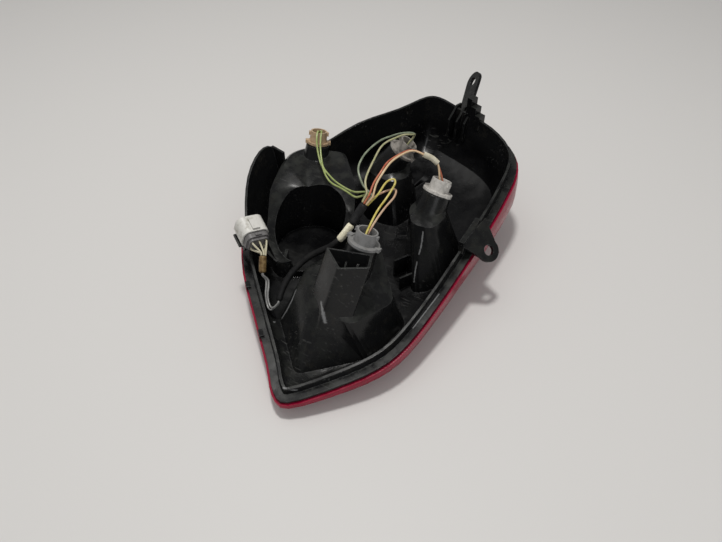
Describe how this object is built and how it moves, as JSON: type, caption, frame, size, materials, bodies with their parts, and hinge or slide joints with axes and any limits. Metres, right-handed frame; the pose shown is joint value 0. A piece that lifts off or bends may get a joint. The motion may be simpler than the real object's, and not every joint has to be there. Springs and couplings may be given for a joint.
{
  "type": "tail light cluster",
  "caption": "Rear lamp cluster of a hatchback: tapered red lens, black moulded housing with chambers and tabs, twist-in bulb holders and wiring with a connector.",
  "frame": {"origin": "On the flat middle of the lens face, which the lamp lies on, about midway along and across the lamp", "axes": "+Z out of the housing's back, away from the lens face; +Y along the lamp from its pointed end to its wide end; +X across it towards the side fixing tab"},
  "size_m": [0.289, 0.4592, 0.1553],
  "materials": {
    "lens": "gloss",
    "clear_window": "gloss",
    "amber_window": "gloss",
    "bead": "matt",
    "housing": "satin",
    "gasket": "matt",
    "holder_grey": "satin",
    "holder_light_grey": "satin",
    "holder_frosted": "satin",
    "holder_tan": "satin",
    "contact_metal": "satin",
    "bulb_glass": "gloss",
    "connector_white": "satin",
    "connector_grey": "satin",
    "pin_metal": "satin",
    "clip": "satin",
    "wire_green": "satin",
    "wire_grey_green": "satin",
    "wire_pale": "satin",
    "wire_orange": "satin",
    "wire_cream": "satin",
    "wire_yellow": "satin",
    "wire_pink": "satin",
    "sleeve_pale": "matt",
    "tape_black": "matt",
    "foam_cream": "matt",
    "trunk_tape": "matt",
    "tape_brown": "matt",
    "wire_ivory": "satin",
    "wire_dark_grey": "satin"
  },
  "bodies": {
    "root": {"lens": "lens", "reverse_window": "clear_window", "indicator_window": "amber_window", "sealing_bead": "bead", "housing": "housing", "stop_gasket": "gasket", "indicator_gasket": "gasket", "reverse_gasket": "gasket", "tail_gasket": "gasket", "stop_holder": "holder_grey", "indicator_holder": "holder_light_grey", "reverse_holder": "holder_frosted", "tail_holder": "holder_tan", "stop_contacts": "contact_metal", "indicator_contacts": "contact_metal", "reverse_contacts": "contact_metal", "tail_contacts": "contact_metal", "stop_bulb": "bulb_glass", "indicator_bulb": "bulb_glass", "reverse_bulb": "bulb_glass", "tail_bulb": "bulb_glass", "connector_shell": "connector_white", "connector_insert": "connector_grey", "connector_pins": "pin_metal", "connector_clip": "clip", "tail_wires": "wire_green", "reverse_wire_grey": "wire_grey_green", "reverse_wire_green": "wire_pale", "indicator_wire_orange": "wire_orange", "indicator_wire_cream": "wire_cream", "stop_wire_yellow": "wire_yellow", "stop_wire_pink": "wire_pink", "indicator_sleeve": "sleeve_pale", "bundle_tape": "tape_black", "bundle_sleeve": "foam_cream", "trunk": "trunk_tape", "brown_tape": "tape_brown", "connector_wires": "wire_ivory", "leg_wires": "wire_dark_grey"}
  },
  "joints": []
}
